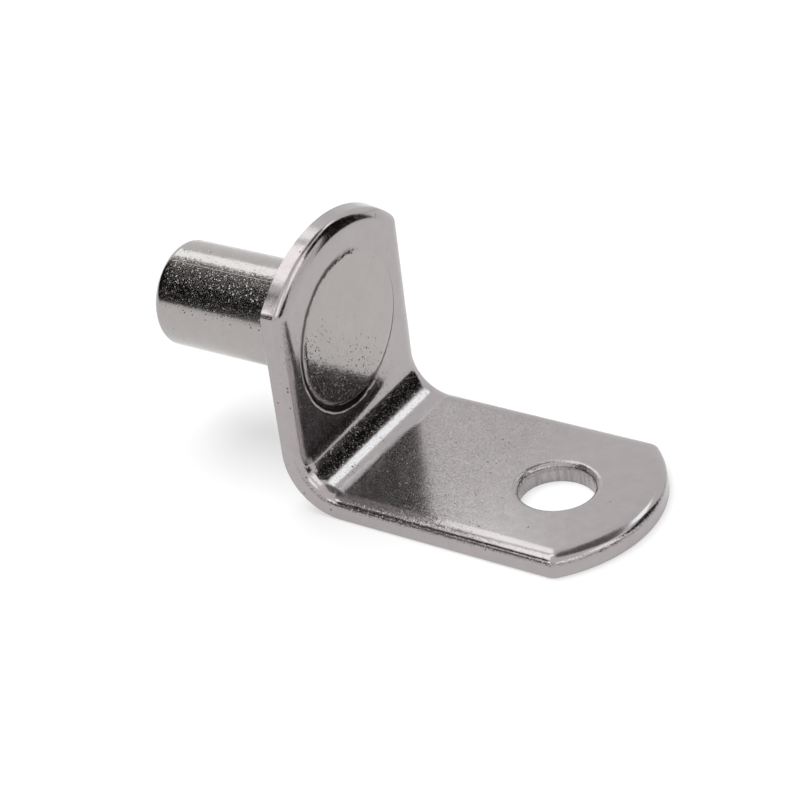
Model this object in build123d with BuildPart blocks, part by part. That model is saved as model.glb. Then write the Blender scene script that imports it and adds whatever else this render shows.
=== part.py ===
from build123d import *
import os
from math import isclose

# A shelf support pin: a stamped and bent steel strip, with a turned pin riveted flush into its leg.
# The origin is where the pin's axis meets the wall face, which is the leg's back.
# The pin points along -X into the cabinet's side, the tab points along +X under the shelf, +Z is up.
# All sizes are in millimetres.

# The strip
strip_width = 12.7
strip_thickness = 1.25
leg_height = 15.6          # from the tab's underside to the crest of the leg's end arc
tab_length = 20.15         # from the wall face to the crest of the tab's end arc
end_rise = 2.85            # how far each end arc rises from its corners to its crest
bend_radius = 2.3          # inside the bend
rolled_edge = 0.5          # rounding that the punch leaves on the face that it enters
burr_break = 0.08          # what tumbling leaves of the burr on the other face
trim_allowance = 1.0       # how far the blank runs past its end arcs before it is trimmed

# The screw hole in the tab
screw_hole_diameter = 4.4
screw_hole_inset = 6.0     # from the crest of the tab's end arc to the hole's centre
screw_hole_roll = 0.35     # the punch's rounding round the hole's upper rim

# The pin, and the head that is upset in the leg's countersunk seat
pin_diameter = 6.35
pin_length = 10.5          # from the wall face to the tip
pin_height = 8.65          # from the tab's underside to the axis
tip_round = 0.5
head_diameter = 9.4
head_land = 0.1            # straight part of the seat, next to the wall face
head_rim = 0.3             # straight part of the seat, next to the leg's front face
head_bevel_depth = 0.15    # the head falls away from the front face at its edge
head_bevel_width = 0.45

# Worked out from the sizes above
tab_underside = -pin_height
tab_top = tab_underside + strip_thickness
leg_top = tab_underside + leg_height
leg_front = strip_thickness
outer_bend_radius = bend_radius + strip_thickness
end_radius = ((strip_width / 2) ** 2 + end_rise ** 2) / (2 * end_rise)
blank_top = leg_top + trim_allowance
blank_end = tab_length + trim_allowance
pin_radius = pin_diameter / 2
head_radius = head_diameter / 2

# The riveted joint in section, as distance from the wall face and radius.
# The seat in the leg and the head that fills it are both drawn from it.
joint_section = [
    (head_land, pin_radius),
    (leg_front - head_rim, head_radius),
]


def end_trim(foot, crest):
    """What is kept of an arm seen square on: all that lies inside its end arc, down to the foot."""
    with BuildSketch() as kept:
        with Locations((0, crest - end_radius)):
            Circle(end_radius)
            Rectangle(2 * end_radius, crest - end_radius - foot, align=(Align.CENTER, Align.MAX))
    return kept.sketch


def strip_side(part, leg_face, tab_face, radius):
    """The three faces of one side of the strip: on the leg, round the bend and on the tab."""
    faces = part.faces()
    leg = faces.filter_by(Axis.X).filter_by(lambda face: isclose(face.center().X, leg_face, abs_tol=1e-6))
    tab = faces.filter_by(Axis.Z).filter_by(lambda face: isclose(face.center().Z, tab_face, abs_tol=1e-6))
    curved = faces.filter_by(GeomType.CYLINDER).filter_by(lambda face: isclose(face.radius, radius))
    return leg + curved + tab


def end_arcs(faces):
    """The two arcs at the strip's ends."""
    return faces.edges().filter_by(GeomType.CIRCLE).filter_by(lambda edge: isclose(edge.radius, end_radius))


def long_sides(faces):
    """The strip's two long edges, which run round the bend."""
    across = faces.edges().group_by(Axis.Y)
    return across[0] + across[-1]


with BuildPart() as bracket:
    # The strip seen from its edge, bent square
    with BuildSketch(Plane.XZ):
        with BuildLine():
            back = FilletPolyline(
                (0, blank_top), (0, tab_underside), (blank_end, tab_underside), radius=outer_bend_radius
            )
            front = FilletPolyline(
                (leg_front, blank_top), (leg_front, tab_top), (blank_end, tab_top), radius=bend_radius
            )
            Line(back @ 0, front @ 0)
            Line(back @ 1, front @ 1)
        make_face()
    extrude(amount=strip_width / 2, both=True)

    # The leg trimmed to its end arc, seen along the pin
    with BuildSketch(Plane.YZ):
        add(end_trim(tab_underside - trim_allowance, leg_top))
    extrude(amount=blank_end, both=True, mode=Mode.INTERSECT)

    # The tab trimmed to its end arc, seen from above
    with BuildSketch(Plane(origin=(0, 0, 0), x_dir=(0, -1, 0), z_dir=(0, 0, 1))):
        add(end_trim(-trim_allowance, tab_length))
    extrude(amount=leg_height, both=True, mode=Mode.INTERSECT)

    # The punch rolls the edge over on the side that it enters, and leaves a slight burr on the other
    for outline in (end_arcs, long_sides):
        fillet(outline(strip_side(bracket, leg_front, tab_top, bend_radius)), rolled_edge)
    wall_side = strip_side(bracket, 0, tab_underside, outer_bend_radius)
    chamfer(end_arcs(wall_side) + long_sides(wall_side), burr_break)

    # The screw hole, punched from above
    with Locations((tab_length - screw_hole_inset, 0, tab_top)):
        Hole(screw_hole_diameter / 2, depth=strip_thickness)
    fillet(edges(Select.LAST).filter_by(GeomType.CIRCLE).sort_by(Axis.Z)[-1], screw_hole_roll)

    # The countersunk seat of the riveted joint
    with BuildSketch(Plane.XZ):
        Polygon(
            (0, 0),
            (0, pin_radius),
            *joint_section,
            (leg_front, head_radius),
            (leg_front, 0),
            align=None,
        )
    revolve(axis=Axis.X, mode=Mode.SUBTRACT)

bracket.part.label = "bracket"


with BuildPart() as support_pin:
    with BuildSketch(Plane.XZ):
        Polygon(
            (-pin_length, 0),
            (-pin_length, pin_radius),
            *joint_section,
            (leg_front - head_bevel_depth, head_radius),
            (leg_front, head_radius - head_bevel_width),
            (leg_front, 0),
            align=None,
        )
    revolve(axis=Axis.X)
    fillet(edges().filter_by(GeomType.CIRCLE).sort_by(Axis.X)[0], tip_round)

support_pin.part.label = "support_pin"


os.makedirs("parts", exist_ok=True)
export_step(bracket.part, "parts/bracket.step")
export_step(support_pin.part, "parts/support_pin.step")
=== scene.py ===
# %% [markdown]
# A shelf support pin holds up one corner of a cabinet shelf. Its turned pin slides into a bored hole
# in the cabinet's side, and the shelf rests on the tab of its bent steel strip.
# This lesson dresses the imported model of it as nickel-plated steel and sets it in a plain studio.
# The model could be shaded just as it comes, but its faces are loose triangles, and bright plating
# shows every one of them. So both pieces are made again here as smooth shells of the same size.
# The model is loaded first, and its box is kept, so that the new pieces can be held against it.

import bpy
import bmesh
from math import asin, cos, pi, radians, sin
from mathutils import Matrix, Vector


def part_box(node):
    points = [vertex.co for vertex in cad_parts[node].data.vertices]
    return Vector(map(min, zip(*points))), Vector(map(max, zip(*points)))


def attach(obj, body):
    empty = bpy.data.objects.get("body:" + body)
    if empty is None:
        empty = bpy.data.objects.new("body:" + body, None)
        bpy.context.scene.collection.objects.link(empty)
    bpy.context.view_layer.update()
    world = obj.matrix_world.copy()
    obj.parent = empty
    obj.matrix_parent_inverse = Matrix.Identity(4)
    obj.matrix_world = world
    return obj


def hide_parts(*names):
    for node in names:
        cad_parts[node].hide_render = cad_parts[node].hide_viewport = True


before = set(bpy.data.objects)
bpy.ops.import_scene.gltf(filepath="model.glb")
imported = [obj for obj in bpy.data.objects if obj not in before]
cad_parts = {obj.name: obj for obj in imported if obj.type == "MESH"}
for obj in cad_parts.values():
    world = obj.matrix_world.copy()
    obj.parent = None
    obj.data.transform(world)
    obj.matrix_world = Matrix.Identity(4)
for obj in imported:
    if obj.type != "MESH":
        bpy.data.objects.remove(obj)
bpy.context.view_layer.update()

# %% [markdown]
# Everything is in metres, and the part is only a few centimetres long, so its sizes are written in
# millimetres and multiplied. The origin is where the pin's axis meets the wall: the pin points along
# -X into the wall, the tab along +X under the shelf, and the leg stands up along +Z.
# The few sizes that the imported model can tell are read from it, and most of the others are those that
# it was drawn with. The rolled edge, the cut edge's lean and the rounded corners are the photograph's:
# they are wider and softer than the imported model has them, and they stay inside its box.

# %% Sizes
MM = 0.001
strip_low, strip_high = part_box("bracket")
pin_low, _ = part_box("support_pin")
strip_width = strip_high.y - strip_low.y
tab_underside = strip_low.z
leg_top = strip_high.z
tab_tip = strip_high.x
strip_thickness = 1.25 * MM
bend_radius = 2.3 * MM
end_rise = 2.85 * MM
roll_width = 0.9 * MM  # the rolled edge begins this far in from the cut edge
roll_depth = 0.45 * MM  # and ends this far down it
edge_lean = 0.17 * MM  # the cut edge leans out by this much towards the wall face
corner_round = 0.8 * MM  # where an end arc meets a long side, seen flat
burr_break = 0.08 * MM
hole_radius = 2.2 * MM
hole_inset = 6.0 * MM
hole_centre = tab_tip - hole_inset
hole_roll = 0.35 * MM
pin_radius = 3.175 * MM
pin_tip = pin_low.x
tip_round = 0.5 * MM
head_radius = 4.7 * MM
head_land = 0.1 * MM
head_rim = 0.3 * MM
head_bevel_width = 0.45 * MM
leg_front = strip_thickness
tab_top = tab_underside + strip_thickness
end_radius = ((strip_width / 2) ** 2 + end_rise**2) / (2 * end_rise)
print(f"strip {strip_width / MM:.2f} wide, tab ends at {tab_tip / MM:.2f}, end arcs r {end_radius / MM:.2f}")

# %% [markdown]
# The camera stands where the photographer stood: to the right of the pin and about a third of the way
# up the sky, with a long lens held a little askew. Azimuth and elevation say from where it looks.
# An empty to track would do as well, but three angles and a distance are easier to adjust by hand.

# %% Camera
view_azimuth = 36.007
view_elevation = 32.381
view_roll = 7.463
view_distance = 134.87 * MM
view_aim = Vector((5.181, -1.426, -3.022)) * MM
view_lens = 107.18
photo_size = 800  # pixels along each side of the photograph

azimuth, elevation, roll = radians(view_azimuth), radians(view_elevation), radians(view_roll)
back = Vector((sin(azimuth) * cos(elevation), -cos(azimuth) * cos(elevation), sin(elevation)))
level_right = Vector((cos(azimuth), sin(azimuth), 0))
level_up = back.cross(level_right)
up = level_up * cos(roll) + level_right * sin(roll)
right = up.cross(back)
camera_data = bpy.data.cameras.new("camera")
camera_data.lens = view_lens
camera_data.clip_start = 0.01
camera_data.clip_end = 10
camera = bpy.data.objects.new("camera", camera_data)
turned = Matrix((right, up, back)).transposed().to_4x4()
camera.matrix_world = Matrix.Translation(view_aim + back * view_distance) @ turned
bpy.context.scene.collection.objects.link(camera)
bpy.context.scene.camera = camera
bpy.context.scene.view_settings.view_transform = "Standard"
print("camera at, mm:", [round(v / MM, 1) for v in camera.matrix_world.translation])


def photo_place(point):
    """Where a point of the part falls in the photograph, in pixels from its upper left."""
    seen = camera.matrix_world.inverted() @ Vector(point)
    scale, middle = photo_size * view_lens / camera_data.sensor_width, photo_size / 2
    return round(middle - scale * seen.x / seen.z, 1), round(middle + scale * seen.y / seen.z, 1)


leg_corner_z = leg_top - end_rise
tab_corner_x = tab_tip - end_rise
for name, point in {
    "leg near corner": (0, -strip_width / 2, leg_corner_z),
    "leg far corner": (0, strip_width / 2, leg_corner_z),
    "tab near corner": (tab_corner_x, -strip_width / 2, tab_top),
    "tab far corner": (tab_corner_x, strip_width / 2, tab_top),
}.items():
    print(name, photo_place(point))

# %% [markdown]
# On the real part the strip is stamped flat, drilled and countersunk, and then bent square in a press.
# The punch rolls its edge over on the side that becomes the inside of the bend.
# A solid with a bevel modifier would give the same outline, but a bevel is uneven where the end arcs
# meet the long sides. Here the blank is drawn flat as rings, one inside the other, and bent later.
# Each ring is the outline drawn in by a little, at some depth below the face that the punch enters.

# %% Outline of the flat blank
arc_steps, corner_steps, bend_steps, roll_steps, round_steps = 40, 6, 24, 10, 128
arc_points = arc_steps + 2 * corner_steps + 1
hold = 0.02 * MM  # a narrow flat band that keeps the shading of a flat face flat
least_round = 0.05 * MM
bend_length = (bend_radius + strip_thickness / 2) * pi / 2
bend_axis_x, bend_axis_z = leg_front + bend_radius, tab_top + bend_radius
leg_crest = bend_axis_z - leg_top
tab_crest = bend_length + tab_tip - bend_axis_x
side_stations = [-hold, *(bend_length * i / bend_steps for i in range(bend_steps + 1)), bend_length + hold]


def end_outline(inset):
    """An end of the blank seen flat, as points behind its crest and across, from one side to the other."""
    half, radius = strip_width / 2 - inset, end_radius - inset
    corner = max(corner_round - inset / 2, least_round)
    turn = asin((half - corner) / (radius - corner))
    corner_back = end_radius - (radius - corner) * cos(turn)
    arc = [turn * (2 * i / arc_steps - 1) for i in range(arc_steps + 1)]
    over = [turn + (pi / 2 - turn) * i / corner_steps for i in range(1, corner_steps + 1)]
    round_over = [(corner_back - corner * cos(a), half - corner + corner * sin(a)) for a in over]
    middle = [(end_radius - radius * cos(a), radius * sin(a)) for a in arc]
    return [(behind, -across) for behind, across in reversed(round_over)] + middle + round_over


def blank_outline(inset):
    """The flat blank's outline, drawn in by inset: leg end, long side, tab end, long side."""
    half, end = strip_width / 2 - inset, end_outline(inset)
    leg_end = [(leg_crest + behind, across) for behind, across in end]
    tab_end = [(tab_crest - behind, -across) for behind, across in end]
    there = [(along, half) for along in side_stations]
    return leg_end + there + tab_end + [(along, -half) for along in reversed(side_stations)]


def rolled(width, depth):
    """A rounding from a face over to a wall, as pairs of inset and depth."""
    bends = [pi / 2 * i / roll_steps for i in range(roll_steps + 1)]
    over = [(width * (1 - sin(a)), depth * (1 - cos(a))) for a in bends]
    return [(width + hold, 0), *over, (0, depth + hold)]


def leaning(section):
    """The cut edge leans out towards the wall face, by edge_lean over the strip's thickness."""
    straight = strip_thickness - burr_break
    return [(inset + edge_lean * max(0, 1 - depth / straight), depth) for inset, depth in section]


edge_section = leaning(
    rolled(roll_width, roll_depth) + [(0, strip_thickness - burr_break), (burr_break, strip_thickness)]
)
print(len(blank_outline(0)), "points round the blank,", len(edge_section), "rings from face to face")

# %% [markdown]
# The holes are rings too: the screw hole with the punch's rounding at its upper rim, and the
# countersunk seat that the pin's head fills. A boolean could cut them, but it would leave thin
# triangles beside the rims, and those show up as smears in bright plating.
# The flat faces are filled between the outline and the hole, and the bend gets one strip per step.

# %% Blank in the flat
blank = bmesh.new()


def ring(points, depth):
    """One closed row of points at a depth below the punched face."""
    return [blank.verts.new((along, across, -depth)) for along, across in points]


def wall(rings):
    """Faces between each ring and the next."""
    for near, far in zip(rings, rings[1:]):
        for i in range(len(near)):
            j = (i + 1) % len(near)
            blank.faces.new((near[i], near[j], far[j], far[i]))


def hole(centre, section):
    """A round hole through the blank: a ring for each radius and depth of its section."""
    angles = [2 * pi * i / round_steps for i in range(round_steps)]
    made = [ring([(centre + r * sin(a), r * cos(a)) for a in angles], depth) for r, depth in section]
    wall(made)
    return made


def fill(row, leg_hole, tab_hole):
    """Closes one face of the blank, whose edge is this ring."""
    stations = len(side_stations)
    there = row[arc_points : arc_points + stations]
    here = row[2 * arc_points + stations :][::-1]
    for i in range(stations - 1):
        blank.faces.new((there[i], there[i + 1], here[i + 1], here[i]))
    leg_edge = [here[0], *row[:arc_points], there[0]]
    tab_edge = [there[-1], *row[arc_points + stations : 2 * arc_points + stations], here[-1]]
    for loop, inner in ((leg_edge, leg_hole), (tab_edge, tab_hole)):
        edges = set()
        for chain in (loop, inner):
            for a, b in zip(chain, chain[1:] + chain[:1]):
                edges.add(blank.edges.get((a, b)) or blank.edges.new((a, b)))
        bmesh.ops.triangle_fill(blank, edges=list(edges), use_beauty=True, normal=(0, 0, 1))


edge_rings = [ring(blank_outline(inset), depth) for inset, depth in edge_section]
wall(edge_rings)
screw_section = [(hole_radius + inset, depth) for inset, depth in rolled(hole_roll, hole_roll)]
screw_section.append((hole_radius, strip_thickness))
screw_rings = hole(bend_length + hole_centre - bend_axis_x, screw_section)
seat_rings = hole(
    bend_axis_z,
    [
        (head_radius, 0),
        (head_radius, head_rim),
        (pin_radius, strip_thickness - head_land),
        (pin_radius, strip_thickness),
    ],
)
fill(edge_rings[0], seat_rings[0], screw_rings[0])
fill(edge_rings[-1], seat_rings[-1], screw_rings[-1])
bmesh.ops.recalc_face_normals(blank, faces=blank.faces)
open_edges = sum(1 for edge in blank.edges if not edge.is_manifold)
print(f"blank: {len(blank.faces)} faces, {open_edges} open edges, {blank.calc_volume() / MM**3:.1f} cubic mm")
blank_mesh = bpy.data.meshes.new("bracket_blank")
blank.to_mesh(blank_mesh)
blank.free()

# %% [markdown]
# Bending is a rule that moves every point of the blank, so it is done with Geometry Nodes.
# The distance along the blank is split in three: what lies before the bend runs up the leg, what lies
# after it runs out along the tab, and what is left is the turn round the bend's axis.
# A Simple Deform modifier bends too, but it bends the whole piece and has no straight arms.

# %% Helpers for node trees
def new_tree(name, inputs, outputs, kind="GeometryNodeTree"):
    """A node group with named sockets. Each socket is a name, a type and a starting value or None."""
    tree = bpy.data.node_groups.new(name, kind)
    for way, sockets in (("INPUT", inputs), ("OUTPUT", outputs)):
        for socket_name, socket_type, value in sockets:
            socket = tree.interface.new_socket(socket_name, in_out=way, socket_type=socket_type)
            if value is not None:
                socket.default_value = value
    return tree, tree.nodes.new("NodeGroupInput"), tree.nodes.new("NodeGroupOutput")


def sums(tree):
    """A short way to write arithmetic in a tree: do("ADD", a, b) gives the result's socket."""

    def do(operation, *terms, clamp=False):
        node = tree.nodes.new("ShaderNodeMath")
        node.operation, node.use_clamp = operation, clamp
        for socket, term in zip(node.inputs, terms):
            if isinstance(term, bpy.types.NodeSocket):
                tree.links.new(term, socket)
            else:
                socket.default_value = term
        return node.outputs[0]

    return do


def end_tree(tree, shaped, given, result):
    """The last steps of every tree: real faces, the material on them, and out."""
    real = tree.nodes.new("GeometryNodeRealizeInstances")
    coated = tree.nodes.new("GeometryNodeSetMaterial")
    tree.links.new(shaped, real.inputs[0])
    tree.links.new(real.outputs[0], coated.inputs["Geometry"])
    tree.links.new(given.outputs["Material"], coated.inputs["Material"])
    tree.links.new(coated.outputs[0], result.inputs[0])
    print(tree.name + ":", len(tree.nodes), "nodes")


def run_tree(name, start_mesh, tree, values):
    """Runs a tree on a mesh with these inputs, and gives what it made as a plain mesh object."""
    holder = bpy.data.objects.new(name, start_mesh)
    bpy.context.scene.collection.objects.link(holder)
    modifier = holder.modifiers.new(name, "NODES")
    modifier.node_group = tree
    for item in tree.interface.items_tree:
        if item.item_type == "SOCKET" and item.in_out == "INPUT" and item.name in values:
            modifier[item.identifier] = values[item.name]
    seen = holder.evaluated_get(bpy.context.evaluated_depsgraph_get())
    made = bpy.data.meshes.new_from_object(seen)
    holder.modifiers.clear()
    holder.data = made
    made.name = name
    made.shade_smooth()
    made.set_sharp_from_angle(angle=sharp_angle)
    print(name, len(made.polygons), "faces")
    return holder


sharp_angle = radians(32)
print("edges sharper than", round(sharp_angle * 180 / pi), "degrees stay sharp")

# %% Tree that bends the blank
bend_tree, given, result = new_tree(
    "bend the blank",
    [
        ("Geometry", "NodeSocketGeometry", None),
        ("Bend Length", "NodeSocketFloat", None),
        ("Inside Radius", "NodeSocketFloat", None),
        ("Axis X", "NodeSocketFloat", None),
        ("Axis Z", "NodeSocketFloat", None),
        ("Material", "NodeSocketMaterial", None),
    ],
    [("Geometry", "NodeSocketGeometry", None)],
)
do, link = sums(bend_tree), bend_tree.links.new
place = bend_tree.nodes.new("ShaderNodeSeparateXYZ")
link(bend_tree.nodes.new("GeometryNodeInputPosition").outputs[0], place.inputs[0])
along, across, height = place.outputs
turn = do("MULTIPLY", do("DIVIDE", along, given.outputs["Bend Length"], clamp=True), pi / 2)
up_the_leg = do("MINIMUM", along, 0.0)
out_the_tab = do("MAXIMUM", do("SUBTRACT", along, given.outputs["Bend Length"]), 0.0)
reach = do("SUBTRACT", given.outputs["Inside Radius"], height)
bent_x = do("SUBTRACT", given.outputs["Axis X"], do("MULTIPLY", reach, do("COSINE", turn)))
bent_z = do("SUBTRACT", given.outputs["Axis Z"], do("MULTIPLY", reach, do("SINE", turn)))
joined = bend_tree.nodes.new("ShaderNodeCombineXYZ")
link(do("ADD", bent_x, out_the_tab), joined.inputs[0])
link(across, joined.inputs[1])
link(do("SUBTRACT", bent_z, up_the_leg), joined.inputs[2])
moved = bend_tree.nodes.new("GeometryNodeSetPosition")
link(given.outputs["Geometry"], moved.inputs["Geometry"])
link(joined.outputs[0], moved.inputs["Position"])
end_tree(bend_tree, moved.outputs[0], given, result)

# %% [markdown]
# The pin is turned from rod, and its head is upset cold in the seat, so all of it is round about one
# axis. The Spin tool or a Screw modifier would turn its section, but a tree does it with a clear rule:
# a grid with one row for each step of the turn, every row set to the section and swung to its angle.
# Merging by distance closes the seam and the two poles.

# %% Section of the pin
# Two numbers are a place along the axis and a radius. A third says how far that point leans: the head
# was struck a little askew, so its bevel is deep at the lower left and almost gone on the other side.
bevel_shallow, bevel_lean, bevel_lean_towards = 0.002 * MM, 0.07 * MM, radians(208)
bevel_drop = bevel_shallow + bevel_lean
bevel_curve = ((0.55, 0.3), (0.12, 0.75))  # the share of the drop that is left, and how far in
head_hold = 0.1 * MM
tip_bends = [pi / 2 * i / roll_steps for i in range(roll_steps + 1)]
pin_section = [
    (pin_tip, 0),
    (pin_tip, pin_radius - tip_round - hold),
    *(
        (pin_tip + tip_round * (1 - cos(a)), pin_radius - tip_round * (1 - sin(a)))
        for a in tip_bends
    ),
    (pin_tip + tip_round + hold, pin_radius),
    (head_land, pin_radius),
    (leg_front - head_rim, head_radius),
    (leg_front - bevel_drop, head_radius, bevel_lean),
    *(
        (leg_front - bevel_drop * part, head_radius - head_bevel_width * inward, bevel_lean * part)
        for part, inward in bevel_curve
    ),
    (leg_front, head_radius - head_bevel_width),
    (leg_front, head_radius - head_bevel_width - head_hold),
    (leg_front, 0),
]
section_mesh = bpy.data.meshes.new("pin_section")
section_mesh.from_pydata(
    [(x, lean[0] if lean else 0, r) for x, r, *lean in pin_section],
    [(i, i + 1) for i in range(len(pin_section) - 1)],
    [],
)
print(len(pin_section), "points in the pin's section")

# %% Tree that turns a section about the X axis
lathe_tree, given, result = new_tree(
    "turn the section",
    [
        ("Geometry", "NodeSocketGeometry", None),
        ("Steps", "NodeSocketInt", None),
        ("Lean Towards", "NodeSocketFloat", None),
        ("Material", "NodeSocketMaterial", None),
    ],
    [("Geometry", "NodeSocketGeometry", None)],
)
do, link = sums(lathe_tree), lathe_tree.links.new
merge_distance = 0.0001 * MM
size = lathe_tree.nodes.new("GeometryNodeAttributeDomainSize")
link(given.outputs["Geometry"], size.inputs[0])
row_length = size.outputs["Point Count"]
sheet = lathe_tree.nodes.new("GeometryNodeMeshGrid")
link(do("ADD", given.outputs["Steps"], 1), sheet.inputs["Vertices X"])
link(row_length, sheet.inputs["Vertices Y"])
number = lathe_tree.nodes.new("GeometryNodeInputIndex").outputs[0]
row = do("FLOOR", do("DIVIDE", do("ADD", number, 0.5), row_length))
column = do("SUBTRACT", number, do("MULTIPLY", row, row_length))
swing = do("DIVIDE", do("MULTIPLY", row, 2 * pi), given.outputs["Steps"])
sample = lathe_tree.nodes.new("GeometryNodeSampleIndex")
sample.data_type = "FLOAT_VECTOR"
link(given.outputs["Geometry"], sample.inputs["Geometry"])
link(lathe_tree.nodes.new("GeometryNodeInputPosition").outputs[0], sample.inputs["Value"])
link(do("ROUND", column), sample.inputs["Index"])
section_point = lathe_tree.nodes.new("ShaderNodeSeparateXYZ")
link(sample.outputs[0], section_point.inputs[0])
joined = lathe_tree.nodes.new("ShaderNodeCombineXYZ")
leaning_part = do("COSINE", do("SUBTRACT", swing, given.outputs["Lean Towards"]))
lean = do("MULTIPLY", section_point.outputs[1], leaning_part)
link(do("SUBTRACT", section_point.outputs[0], lean), joined.inputs[0])
link(do("MULTIPLY", section_point.outputs[2], do("COSINE", swing)), joined.inputs[1])
link(do("MULTIPLY", section_point.outputs[2], do("SINE", swing)), joined.inputs[2])
moved = lathe_tree.nodes.new("GeometryNodeSetPosition")
link(sheet.outputs["Mesh"], moved.inputs["Geometry"])
link(joined.outputs[0], moved.inputs["Position"])
closed = lathe_tree.nodes.new("GeometryNodeMergeByDistance")
closed.inputs["Distance"].default_value = merge_distance
link(moved.outputs[0], closed.inputs["Geometry"])
end_tree(lathe_tree, closed.outputs[0], given, result)

# %% [markdown]
# Nickel plating is a thin bright coat that copies whatever lies under it. Rolled strip and drawn rod
# both keep a fine grain, so the plating is a patchwork of tiny facets, each tilted a little its own way.
# Most facets hardly tilt. A few stand up and catch a light that the rest of the surface misses.
# A fine noise would look softer than this. Cells with one tilt each give the crisp sparkle of metal.
# Both materials use the same grain, so it is one node group that puts out a height.

# %% Vector arithmetic in a shader tree
def vector_math(tree, operation, *terms):
    """One step of vector arithmetic in a shader tree."""
    node = tree.nodes.new("ShaderNodeVectorMath")
    node.operation = operation
    for socket, term in zip(node.inputs, terms):
        if isinstance(term, bpy.types.NodeSocket):
            tree.links.new(term, socket)
        else:
            socket.default_value = term
    return node.outputs["Value"] if operation in ("DOT_PRODUCT", "LENGTH") else node.outputs["Vector"]


def noise(tree, place, scale, detail=1.0):
    """Smooth noise about a half, with so many waves to the metre."""
    node = tree.nodes.new("ShaderNodeTexNoise")
    tree.links.new(place, node.inputs["Vector"])
    node.inputs["Scale"].default_value = scale
    node.inputs["Detail"].default_value = detail
    return node.outputs[0]


def wavering(do, value, by, amount):
    """A value pushed to and fro by a noise."""
    return do("ADD", value, do("MULTIPLY", do("SUBTRACT", by, 0.5), amount))


print("a noise of scale 2000 has waves", 1 / 2000 / MM, "mm long")

# %% Plating grain
grain_group, given, result = new_tree(
    "plating grain",
    [
        ("Vector", "NodeSocketVector", None),
        ("Facet Size", "NodeSocketFloat", 0.06 * MM),
        ("Facet Tilt", "NodeSocketFloat", 0.01),
        ("Glint Tilt", "NodeSocketFloat", 0.0),
        ("Glint Rarity", "NodeSocketFloat", 14.0),
        ("Swell Size", "NodeSocketFloat", 0.8 * MM),
        ("Swell Tilt", "NodeSocketFloat", 0.003),
    ],
    [("Height", "NodeSocketFloat", None), ("Mottle", "NodeSocketFloat", None)],
    "ShaderNodeTree",
)
do, link = sums(grain_group), grain_group.links.new
doubled_in_mm = 2 / MM  # the random tilt is at most a half, and the height is wanted in millimetres
spread = grain_group.nodes.new("ShaderNodeCombineXYZ")
for socket in spread.inputs:
    link(given.outputs["Facet Size"], socket)
in_facets = vector_math(grain_group, "DIVIDE", given.outputs["Vector"], spread.outputs[0])
facets = grain_group.nodes.new("ShaderNodeTexVoronoi")
link(in_facets, facets.inputs["Vector"])
facets.inputs["Scale"].default_value = 1.0
offset = vector_math(grain_group, "SUBTRACT", in_facets, facets.outputs["Position"])
tilt = vector_math(grain_group, "SUBTRACT", facets.outputs["Color"], (0.5, 0.5, 0.5))
chance = grain_group.nodes.new("ShaderNodeTexWhiteNoise")
link(facets.outputs["Position"], chance.inputs["Vector"])
rare = do("POWER", chance.outputs["Value"], given.outputs["Glint Rarity"])
steep = do("ADD", given.outputs["Facet Tilt"], do("MULTIPLY", rare, given.outputs["Glint Tilt"]))
facet_rise = do("MULTIPLY", vector_math(grain_group, "DOT_PRODUCT", offset, tilt), steep)
facet_height = do("MULTIPLY", facet_rise, do("MULTIPLY", given.outputs["Facet Size"], doubled_in_mm))
swell = grain_group.nodes.new("ShaderNodeTexNoise")
link(given.outputs["Vector"], swell.inputs["Vector"])
link(do("DIVIDE", 1.0, given.outputs["Swell Size"]), swell.inputs["Scale"])
swell.inputs["Detail"].default_value = 1.5
swell_rise = do("MULTIPLY", swell.outputs[0], given.outputs["Swell Tilt"])
swell_height = do("MULTIPLY", swell_rise, do("MULTIPLY", given.outputs["Swell Size"], doubled_in_mm))
link(do("ADD", facet_height, swell_height), result.inputs["Height"])
link(swell.outputs[0], result.inputs["Mottle"])
print("plating grain:", len(grain_group.nodes), "nodes")

# %% [markdown]
# The plating has small pits where it did not take, mostly on the head, whose metal was crushed most.
# They come in patches, and no two are the same size. Modelled pits would need far more triangles, so a
# scattered mask is used: it darkens the pit's floor, and pushes it two hundredths of a millimetre in.

# %% Pits and specks
pit_group, given, result = new_tree(
    "pits and specks",
    [
        ("Vector", "NodeSocketVector", None),
        ("Spacing", "NodeSocketFloat", 0.17 * MM),
        ("Pit Size", "NodeSocketFloat", 0.34),
        ("Share", "NodeSocketFloat", 0.02),
    ],
    [("Mask", "NodeSocketFloat", None)],
    "ShaderNodeTree",
)
do, link = sums(pit_group), pit_group.links.new
raggedness, steepness, least_size = 0.22, 1.8, 0.45
clear_patches, crowding = 0.27, 3.6  # patches below the first have no pits, above it they crowd
ragged = noise(pit_group, given.outputs["Vector"], 11000.0)
patchy = noise(pit_group, given.outputs["Vector"], 620.0)
pits = pit_group.nodes.new("ShaderNodeTexVoronoi")
link(given.outputs["Vector"], pits.inputs["Vector"])
link(do("DIVIDE", 1.0, given.outputs["Spacing"]), pits.inputs["Scale"])
cell = pit_group.nodes.new("ShaderNodeSeparateColor")
link(pits.outputs["Color"], cell.inputs[0])
size = do("MULTIPLY", given.outputs["Pit Size"], do("ADD", do("POWER", cell.outputs[1], 3.0), least_size))
distance = wavering(do, pits.outputs["Distance"], ragged, raggedness)
depth = do("MULTIPLY", do("SUBTRACT", 1.0, do("DIVIDE", distance, size), clamp=True), steepness)
crowd = do("MULTIPLY", do("SUBTRACT", patchy, clear_patches, clamp=True), crowding)
chosen = do("LESS_THAN", cell.outputs[0], do("MULTIPLY", given.outputs["Share"], crowd))
link(do("MULTIPLY", depth, chosen, clamp=True), result.inputs["Mask"])
print("pits and specks:", len(pit_group.nodes), "nodes")

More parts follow.
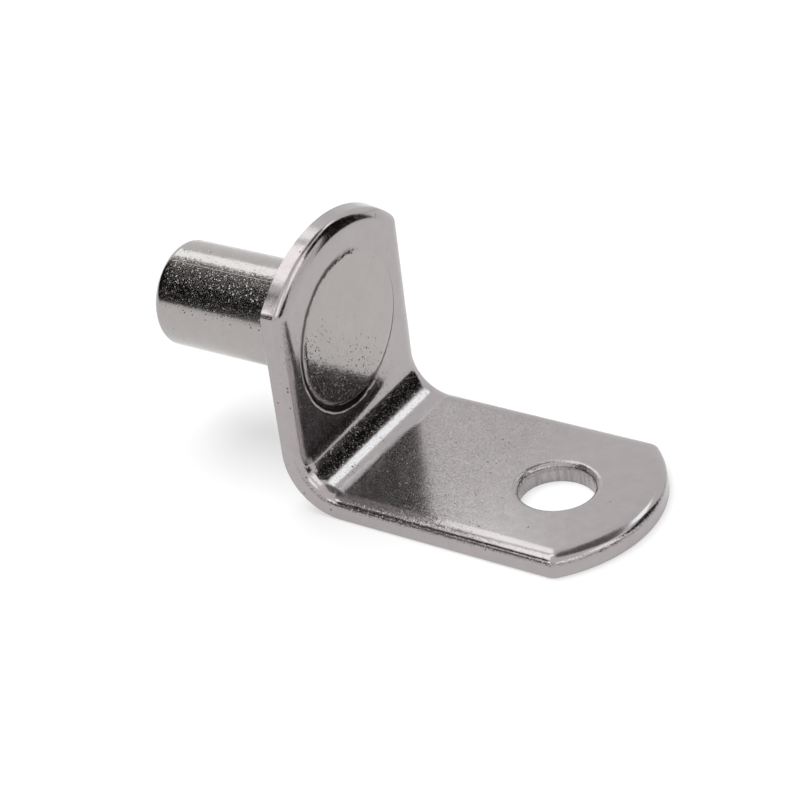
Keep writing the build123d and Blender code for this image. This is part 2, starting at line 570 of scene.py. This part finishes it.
# %% [markdown]
# The head was riveted flush, but a hair of a gap stays round it, which is painted dark as its shade. It is
# widest on the side where the blow was heaviest, and the far side has closed up. The gap is thinner than
# the mesh could hold, so it too is a mask, a ring about the pin's axis: painted shade and a small bump.

# %% Helpers for places on the part
def apart_in(tree, place):
    """The three coordinates of a place on the part."""
    split = tree.nodes.new("ShaderNodeSeparateXYZ")
    tree.links.new(place, split.inputs[0])
    return split.outputs


def fade(tree, value, start, end, low=0.0, high=1.0):
    """A smooth step of a value, from low at its start to high at its end."""
    step = tree.nodes.new("ShaderNodeMapRange")
    step.interpolation_type = "SMOOTHSTEP"
    tree.links.new(value, step.inputs["Value"])
    for name, number in (("From Min", start), ("From Max", end), ("To Min", low), ("To Max", high)):
        step.inputs[name].default_value = number
    return step.outputs[0]


def length_of(do, first, second):
    """The length of a step, from its two parts."""
    return do("SQRT", do("ADD", do("MULTIPLY", first, first), do("MULTIPLY", second, second)))


print("the seam runs round the head at", round(head_radius / MM, 2), "mm from the pin's axis")

# %% Seam round the riveted head
seam_group, given, result = new_tree(
    "seam round the head",
    [
        ("Vector", "NodeSocketVector", None),
        ("Radius", "NodeSocketFloat", head_radius + 0.03 * MM),
        ("Width", "NodeSocketFloat", 0.24 * MM),
    ],
    [("Mask", "NodeSocketFloat", None)],
    "ShaderNodeTree",
)
do, link = sums(seam_group), seam_group.links.new
x, y, z = apart_in(seam_group, given.outputs["Vector"])
waver = noise(seam_group, given.outputs["Vector"], 1500.0, 3.0)
radius = length_of(do, y, z)
off = do("ABSOLUTE", do("SUBTRACT", wavering(do, radius, waver, 0.12 * MM), given.outputs["Radius"]))
line = do("MULTIPLY", do("SUBTRACT", 1.0, do("DIVIDE", off, given.outputs["Width"]), clamp=True), 2.0)
facing = do("DIVIDE", do("ADD", do("MULTIPLY", y, -1.0), do("MULTIPLY", z, -0.12)), radius)
open_side = fade(seam_group, wavering(do, facing, waver, 1.0), -0.5, 0.3)
on_front = do("GREATER_THAN", x, leg_front / 2)
link(do("MULTIPLY", do("MULTIPLY", line, open_side), on_front, clamp=True), result.inputs["Mask"])
print("seam round the head:", len(seam_group.nodes), "nodes")

# %% [markdown]
# Each piece also has marks of its own. The strip is stretched round the inside of the bend, so its
# grain is coarser there. The punch tears the lower part of every edge that it cuts, and drags fine
# lines down the hole's wall. The pin keeps the rod's grain on its barrel and a fine line from the die.
# Painting these by hand is a fair way too. Rules about the place keep them right when a size changes.

# %% Nickel over grained metal
pit_floor, seam_floor = 0.02, 0.05  # how deep they look, in millimetres
# The first darkens the pits' floors; the second darkens the seam, as painted shade of its gap.
pit_dirt, seam_shade = 0.8, 0.95
# One dark colour for dirt, pit floors and the painted shade of the seam and near the bend.
dirt_and_shade_colour = (0.06, 0.048, 0.042)
mottled = (0.94, 1.06)  # how much darker and lighter the plating is in places


def mixed_colour(tree, factor, first, second):
    """A colour between two, each a socket or three numbers."""
    mix = tree.nodes.new("ShaderNodeMix")
    mix.data_type = "RGBA"
    tree.links.new(factor, mix.inputs["Factor"])
    ends = [socket for socket in mix.inputs if socket.enabled and socket.type == "RGBA"]
    for socket, colour in zip(ends, (first, second)):
        if isinstance(colour, bpy.types.NodeSocket):
            tree.links.new(colour, socket)
        else:
            socket.default_value = (*colour, 1)
    return next(socket for socket in mix.outputs if socket.enabled)


def nickel(name, colour, roughness, facet_size, pit_share, marks):
    """Nickel plating. marks gives facet tilt, glints, pits, roughness, height in mm, and dirt, which on the
    strip includes a painted shade near the bend.
    """
    made = bpy.data.materials.new(name)
    made.use_nodes = True
    tree = made.node_tree
    nodes, link, do = tree.nodes, tree.links.new, sums(tree)
    metal = nodes["Principled BSDF"]
    metal.inputs["Metallic"].default_value = 1
    place = nodes.new("ShaderNodeTexCoord").outputs["Object"]
    tilt, glints, more_pits, more_rough, more_height, grime_and_shade = marks(tree, place)
    shared = {}
    for group in (grain_group, pit_group, seam_group):
        shared[group] = nodes.new("ShaderNodeGroup")
        shared[group].node_tree = group
        link(place, shared[group].inputs["Vector"])
    grain, pit_mask = shared[grain_group], shared[pit_group].outputs["Mask"]
    seam_mask = shared[seam_group].outputs["Mask"]
    grain.inputs["Facet Size"].default_value = facet_size
    link(tilt, grain.inputs["Facet Tilt"])
    link(glints, grain.inputs["Glint Tilt"])
    link(do("ADD", more_pits, pit_share), shared[pit_group].inputs["Share"])
    cut_in = do("ADD", do("MULTIPLY", pit_mask, pit_floor), do("MULTIPLY", seam_mask, seam_floor))
    bump = nodes.new("ShaderNodeBump")
    bump.inputs["Distance"].default_value = MM
    link(do("ADD", do("SUBTRACT", grain.outputs["Height"], cut_in), more_height), bump.inputs["Height"])
    link(bump.outputs[0], metal.inputs["Normal"])
    darker, lighter = ([c * level for c in colour] for level in mottled)
    plated = mixed_colour(tree, grain.outputs["Mottle"], darker, lighter)
    # Pits darken their floors, and the seam's mask darkens its ring as painted shade of the gap.
    dark = do("MAXIMUM", do("MULTIPLY", pit_mask, pit_dirt), do("MULTIPLY", seam_mask, seam_shade))
    # Dirt, and on the strip a painted shade near the bend, darken the plating's colour as well.
    soiled_and_shaded = mixed_colour(tree, do("MAXIMUM", dark, grime_and_shade, clamp=True), plated, dirt_and_shade_colour)
    link(soiled_and_shaded, metal.inputs["Base Color"])
    rough = fade(tree, grain.outputs["Mottle"], 0.25, 0.75, roughness * 0.8, roughness * 1.2)
    link(do("ADD", rough, more_rough), metal.inputs["Roughness"])
    print(name, len(nodes), "nodes")
    return made


print("pits look", pit_floor, "mm deep, and the seam", seam_floor, "mm")

# %% Marks of the strip
grain_reach, grain_full = 8.5 * MM, 3.5 * MM  # beyond the bend, where the coarse grain ends and is full
torn_band = (0.24 * MM, 0.36 * MM, 0.46 * MM, 0.56 * MM)  # depths below the punched face
drag_stretch = 0.08


def strip_marks(tree, place):
    """The strip's own grain round the bend, torn edges, and drag lines down the hole and the sides."""
    do = sums(tree)
    x, y, z = apart_in(tree, place)

    # How deep a point lies below the punched face, and how far from the bend
    from_x = do("MAXIMUM", do("SUBTRACT", bend_axis_x, x), 0.0)
    from_z = do("MAXIMUM", do("SUBTRACT", bend_axis_z, z), 0.0)
    below_face = do("SUBTRACT", length_of(do, from_x, from_z), bend_radius)
    away = length_of(do, do("SUBTRACT", bend_axis_x, x), do("SUBTRACT", bend_axis_z, z))
    bent = do("MULTIPLY", do("LESS_THAN", x, bend_axis_x), do("LESS_THAN", z, bend_axis_z))
    stretched = do("MULTIPLY", bent, fade(tree, below_face, strip_thickness * 0.8, strip_thickness * 0.2))
    nearby = fade(tree, away, bend_radius + grain_reach, bend_radius + grain_full)
    flat_nearby = do("MULTIPLY", nearby, do("SUBTRACT", 1.0, stretched))

    # The torn part of the cut edge, a band below the roll that is strong on the tab and weak up the leg
    begins, full, still_full, ends = torn_band
    band = do("MULTIPLY", fade(tree, below_face, begins, full), fade(tree, below_face, ends, still_full))
    torn = do("MULTIPLY", band, fade(tree, z, bend_axis_z, tab_top + 0.2 * MM, 0.12, 1.0))
    fine = noise(tree, place, 9000.0, 2.0)
    patches = noise(tree, place, 1300.0, 2.0)

    # The hole's wall and rim, the strip's sides, and lines dragged straight down
    hole_away = length_of(do, do("SUBTRACT", x, hole_centre), y)
    in_hole = fade(tree, hole_away, hole_radius + 0.12 * MM, hole_radius + 0.01 * MM)
    at_rim = fade(tree, hole_away, hole_radius + 0.5 * MM, hole_radius + 0.2 * MM)
    on_side = fade(tree, do("ABSOLUTE", y), strip_width / 2 - 0.5 * MM, strip_width / 2 - 0.25 * MM)
    squashed = tree.nodes.new("ShaderNodeCombineXYZ")
    tree.links.new(x, squashed.inputs[0])
    tree.links.new(y, squashed.inputs[1])
    tree.links.new(do("MULTIPLY", z, drag_stretch), squashed.inputs[2])
    drag = noise(tree, squashed.outputs[0], 4200.0, 2.0)

    # What each place does to the plating
    tilt = do("ADD", 0.007, do("MULTIPLY", flat_nearby, 0.014))
    tilt = do("ADD", tilt, do("MULTIPLY", do("MAXIMUM", torn, at_rim), 0.06))
    glints = do("ADD", 0.03, do("MULTIPLY", stretched, 0.1))
    glints = do("ADD", glints, do("MULTIPLY", flat_nearby, 0.16))
    glints = do("ADD", glints, do("MULTIPLY", torn, 0.6))
    height = do("MULTIPLY", do("MULTIPLY", drag, in_hole), 0.06)
    height = do("ADD", height, do("MULTIPLY", do("MULTIPLY", patches, on_side), 0.012))
    grime_and_shade = do("MULTIPLY", in_hole, fade(tree, drag, 0.42, 0.62, 0.0, 0.25))
    grime_and_shade = do("MAXIMUM", grime_and_shade, do("MULTIPLY", torn, fade(tree, fine, 0.45, 0.6, 0.0, 0.4)))
    # Dust specks on the tab's top near the bend, over an even darkening that grows towards the bend: painted
    # shade of the inside corner.
    dust_and_bend_shade = do("MULTIPLY", flat_nearby, fade(tree, z, tab_top + 0.6 * MM, tab_top + 0.1 * MM))
    dust_and_bend_shade = do("MULTIPLY", dust_and_bend_shade, fade(tree, on_side, 0.4, 0.0))
    grime_and_shade = do("MAXIMUM", grime_and_shade, do("MULTIPLY", dust_and_bend_shade, fade(tree, fine, 0.5, 0.7, 0.08, 0.3)))
    rougher = do("ADD", do("MULTIPLY", at_rim, 0.04), do("MULTIPLY", flat_nearby, 0.035))
    return tilt, glints, do("MULTIPLY", nearby, 0.05), rougher, height, grime_and_shade


print("coarse grain ends", round(grain_reach / MM, 1), "mm beyond the bend's inside")

# %% Marks of the pin
die_line = radians(66)  # how far round the barrel the line runs: 0 faces -Y, 90 degrees is up


def pin_marks(tree, place):
    """The rod's grain along the barrel, the drawing die's line, and a crowd of pits low on the head."""
    do = sums(tree)
    x, y, z = apart_in(tree, place)
    on_barrel = do("LESS_THAN", x, 0.0)
    on_head = do("SUBTRACT", 1.0, on_barrel)

    # The barrel's grain is coarse about the die's line and just under it, and hardly there elsewhere
    angle = do("ARCTAN2", z, do("MULTIPLY", y, -1.0))
    under_line = fade(tree, angle, radians(76), radians(68))
    upper = do("MULTIPLY", under_line, fade(tree, angle, radians(36), radians(54), 0.03, 1.0))
    barrel = do("MULTIPLY", on_barrel, fade(tree, x, pin_tip + 0.35 * MM, pin_tip + 1.1 * MM))
    grained = do("MULTIPLY", barrel, do("ADD", do("MULTIPLY", upper, 0.93), 0.07))
    waver = noise(tree, place, 700.0)
    off = do("ABSOLUTE", do("SUBTRACT", wavering(do, angle, waver, 0.03), die_line))
    line = do("MULTIPLY", fade(tree, off, 0.016, 0.0), barrel)

    # What each place does to the plating
    low = fade(tree, do("SUBTRACT", do("MULTIPLY", y, -0.6), z), -2.0 * MM, 3.0 * MM)
    crowd = do("MULTIPLY", do("MULTIPLY", on_head, low), 0.6)
    tilt = do("ADD", 0.006, do("MULTIPLY", grained, 0.045))
    tilt = do("ADD", tilt, do("MULTIPLY", on_head, 0.01))
    glints = do("ADD", 0.07, do("MULTIPLY", grained, 1.5))
    return tilt, glints, crowd, 0.0, do("MULTIPLY", line, 0.02), do("MULTIPLY", line, 0.35)


strip_nickel = nickel(
    "bracket_nickel",
    colour=(0.395, 0.366, 0.37),
    roughness=0.1,
    facet_size=0.055 * MM,
    pit_share=0.012,
    marks=strip_marks,
)
pin_nickel = nickel(
    "pin_nickel",
    colour=(0.395, 0.372, 0.365),
    roughness=0.1,
    facet_size=0.065 * MM,
    pit_share=0.03,
    marks=pin_marks,
)

# %% [markdown]
# Now both pieces can be made. In the works the strip is bent first, and then the pin's end is pushed
# through it and struck. Here the order does not matter, because each piece is made in its place.
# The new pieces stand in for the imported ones, which stay where they are and are hidden.

# %% Make the strip and the pin
bracket = run_tree(
    "bracket_plated",
    blank_mesh,
    bend_tree,
    {
        "Bend Length": bend_length,
        "Inside Radius": bend_radius,
        "Axis X": bend_axis_x,
        "Axis Z": bend_axis_z,
        "Material": strip_nickel,
    },
)
pin = run_tree(
    "pin_plated",
    section_mesh,
    lathe_tree,
    {"Steps": round_steps, "Lean Towards": bevel_lean_towards, "Material": pin_nickel},
)

# %% Check the shells and put them in the model's place
for piece, node, slot in ((bracket, "bracket", "bracket_nickel"), (pin, "support_pin", "pin_nickel")):
    check = bmesh.new()
    check.from_mesh(piece.data)
    if check.calc_volume(signed=True) < 0:
        bmesh.ops.reverse_faces(check, faces=check.faces)
        check.to_mesh(piece.data)
        print(piece.name, "was inside out, and is turned")
    open_edges = sum(1 for edge in check.edges if not edge.is_manifold)
    print(piece.name, open_edges, "open edges,", round(check.calc_volume() / MM**3, 2), "cubic mm")
    check.free()
    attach(piece, "root")
    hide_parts(node)

# %% [markdown]
# Bright metal has no look of its own. It shows the room, so the room has to be built as well.
# The photographer's tent was light all round, with two dark openings, left and right, and some lamps
# that made brighter patches on its cloth. Each of these is a card that only the plating can see.
# A picture of a studio wrapped round the scene would do the same, but cards can be moved one by one.
# Azimuth and elevation are those of the camera: 0 degrees is in front, 90 is beyond the tab's end.

# %% A card of the light tent
card_steps = 16
over_floor = 0.2 * MM
tent_reach = 0.6


def sky(azimuth, elevation, distance):
    """A point seen from the part at this azimuth and elevation, in degrees, as the camera's are."""
    a, e = radians(azimuth), radians(elevation)
    return Vector((sin(a) * cos(e), -cos(a) * cos(e), sin(e))) * distance


def card_shape(name, azimuths, elevations, soft, distance):
    """A curved patch of the sky, with how far it covers at each point: nothing at its very edge.
    What reaches below the horizon lies on the floor."""
    points, cover, faces = [], [], []
    for i in range(card_steps + 1):
        for j in range(card_steps + 1):
            azimuth = azimuths[0] + (azimuths[1] - azimuths[0]) * i / card_steps
            elevation = elevations[0] + (elevations[1] - elevations[0]) * j / card_steps
            down = sin(radians(elevation))
            to_floor = (tab_underside + over_floor) / down if elevation < 0 else distance
            points.append(sky(azimuth, elevation, min(distance, to_floor)))
            sideways = min(azimuth - azimuths[0], azimuths[1] - azimuth) * cos(radians(elevation))
            upright = min(elevation - elevations[0], elevations[1] - elevation)
            cover.append(min(1, max(0, min(sideways, upright) / soft)))
            if i < card_steps and j < card_steps:
                first = i * (card_steps + 1) + j
                next_row = first + card_steps + 1
                faces.append((first, next_row, next_row + 1, first + 1))
    mesh = bpy.data.meshes.new(name)
    mesh.from_pydata(points, [], faces)
    mesh.attributes.new("cover", "FLOAT", "POINT").data.foreach_set("value", cover)
    return mesh


def studio_card(name, azimuths, elevations, brightness, soft, distance=tent_reach):
    """Hangs a card, seen only in the plating: black, grey or white by its brightness.
    Where two cards overlap, the one at the smaller distance lies in front."""
    mesh = card_shape(name, azimuths, elevations, soft, distance)
    paint = bpy.data.materials.new(name)
    paint.use_nodes = True
    nodes, link = paint.node_tree.nodes, paint.node_tree.links.new
    nodes.clear()
    glow = nodes.new("ShaderNodeEmission")
    glow.inputs["Color"].default_value = (*brightness, 1)
    read = nodes.new("ShaderNodeAttribute")
    read.attribute_name = "cover"
    mix = nodes.new("ShaderNodeMixShader")
    out = nodes.new("ShaderNodeOutputMaterial")
    link(read.outputs["Fac"], mix.inputs[0])
    link(nodes.new("ShaderNodeBsdfTransparent").outputs[0], mix.inputs[1])
    link(glow.outputs[0], mix.inputs[2])
    link(mix.outputs[0], out.inputs[0])
    mesh.materials.append(paint)
    card = bpy.data.objects.new(name, mesh)
    bpy.context.scene.collection.objects.link(card)
    card.visible_camera = card.visible_diffuse = card.visible_shadow = card.visible_transmission = False
    print(name, "from azimuth", azimuths[0], "to", azimuths[1])


print("the tent hangs", tent_reach, "m from the part")

# %% Dark openings of the tent
black = (0.012, 0.01, 0.009)
studio_card("black_opening_left", (-108, -30), (1, 61), black, 3)
studio_card("brown_cloth_left", (-118, -79), (50, 63.5), (0.16, 0.14, 0.125), 3, 0.59)
studio_card("black_opening_right", (111, 151), (17, 41), black, 1.5)
studio_card("black_opening_floor", (127, 151), (-10, 23), black, 1.5, 0.61)
studio_card("black_opening_low", (82, 106), (-4, 14), (0.03, 0.025, 0.02), 3, 0.61)
studio_card("grey_cloth_behind", (120, 204), (51, 82), (0.2, 0.18, 0.175), 5)
studio_card("grey_camera_side", (-33, -13), (-2, 28), (0.05, 0.045, 0.04), 3)

# %% Bright patches of the tent
studio_card("white_patch_left", (-149, -113), (35, 60), (2.0, 2.08, 2.05), 2)
studio_card("white_patch_above", (-149, -42), (62, 76), (2.2, 2.2, 2.2), 3, 0.61)
studio_card("white_patch_right", (150, 173), (38, 51), (2.15, 2.33, 2.35), 1)
studio_card("white_patch_front", (84, 119), (18, 57), (1.9, 1.9, 1.9), 5, 0.61)
studio_card("white_patch_tab_end", (45, 80), (18, 50), (1.9, 1.9, 1.9), 4)
studio_card("white_patch_camera_side", (-28, -2), (35, 57), (2.2, 2.2, 2.2), 3)

# %% [markdown]
# The part lies on a plain white floor, which carries straight on into a white background.
# A white floor lit by lamps alone would come out grey in places, so part of its white is its own glow,
# which only the camera and the plating see. The rest is matt, and so the part's shadow still falls on
# it. The world works alike: full white to look at, and a low even light for everything else.

# %% What the camera and the plating see
def seen_directly(nodes, link):
    """One for rays from the camera, off the plating or through glass, and nothing for the rest."""
    path = nodes.new("ShaderNodeLightPath")
    seen = path.outputs["Is Camera Ray"]
    for kind in ("Is Glossy Ray", "Is Transmission Ray"):
        either = nodes.new("ShaderNodeMath")
        either.operation = "MAXIMUM"
        link(seen, either.inputs[0])
        link(path.outputs[kind], either.inputs[1])
        seen = either.outputs[0]
    return seen


print("the floor lies at", round(tab_underside / MM, 2), "mm, under the tab")

# %% Floor
floor_reach = 3
floor_matt, floor_glow = 0.42, 0.6
floor_mesh = bpy.data.meshes.new("floor")
floor_corners = [(-1, -1), (1, -1), (1, 1), (-1, 1)]
floor_mesh.from_pydata(
    [(floor_reach * a, floor_reach * b, tab_underside) for a, b in floor_corners], [], [(0, 1, 2, 3)]
)
floor = bpy.data.objects.new("floor", floor_mesh)
bpy.context.scene.collection.objects.link(floor)
floor_paint = bpy.data.materials.new("floor")
floor_paint.use_nodes = True
nodes, link = floor_paint.node_tree.nodes, floor_paint.node_tree.links.new
nodes.clear()
matt = nodes.new("ShaderNodeBsdfDiffuse")
matt.inputs["Color"].default_value = (floor_matt, floor_matt, floor_matt, 1)
glow = nodes.new("ShaderNodeEmission")
level = nodes.new("ShaderNodeMath")
level.operation = "MULTIPLY"
link(seen_directly(nodes, link), level.inputs[0])
level.inputs[1].default_value = floor_glow
link(level.outputs[0], glow.inputs["Strength"])
both = nodes.new("ShaderNodeAddShader")
link(matt.outputs[0], both.inputs[0])
link(glow.outputs[0], both.inputs[1])
link(both.outputs[0], nodes.new("ShaderNodeOutputMaterial").inputs[0])
floor_mesh.materials.append(floor_paint)
print("floor", 2 * floor_reach, "m wide")

# %% World
world_light, world_look = 0.3, 1.0
world = bpy.data.worlds.new("studio")
bpy.context.scene.world = world
world.use_nodes = True
nodes, link = world.node_tree.nodes, world.node_tree.links.new
background = nodes["Background"]
level = nodes.new("ShaderNodeMapRange")
link(seen_directly(nodes, link), level.inputs["Value"])
level.inputs["To Min"].default_value = world_light
level.inputs["To Max"].default_value = world_look
link(level.outputs[0], background.inputs["Strength"])
background.inputs["Color"].default_value = (1, 1, 1, 1)
print("world: white to look at, and", world_light, "of that as light")

# %% Softbox
softbox_watts, softbox_side, softbox_away = 2.4, 0.35, 0.5
lamp_data = bpy.data.lights.new("softbox", "AREA")
lamp_data.shape = "RECTANGLE"
lamp_data.size = lamp_data.size_y = softbox_side
lamp_data.energy = softbox_watts
lamp = bpy.data.objects.new("softbox", lamp_data)
lamp.location = sky(-100, 72, softbox_away)
lamp.rotation_euler = (-lamp.location).to_track_quat("-Z", "Y").to_euler()
lamp.visible_glossy = False
bpy.context.scene.collection.objects.link(lamp)
print("softbox of", softbox_watts, "W,", softbox_away, "m away")
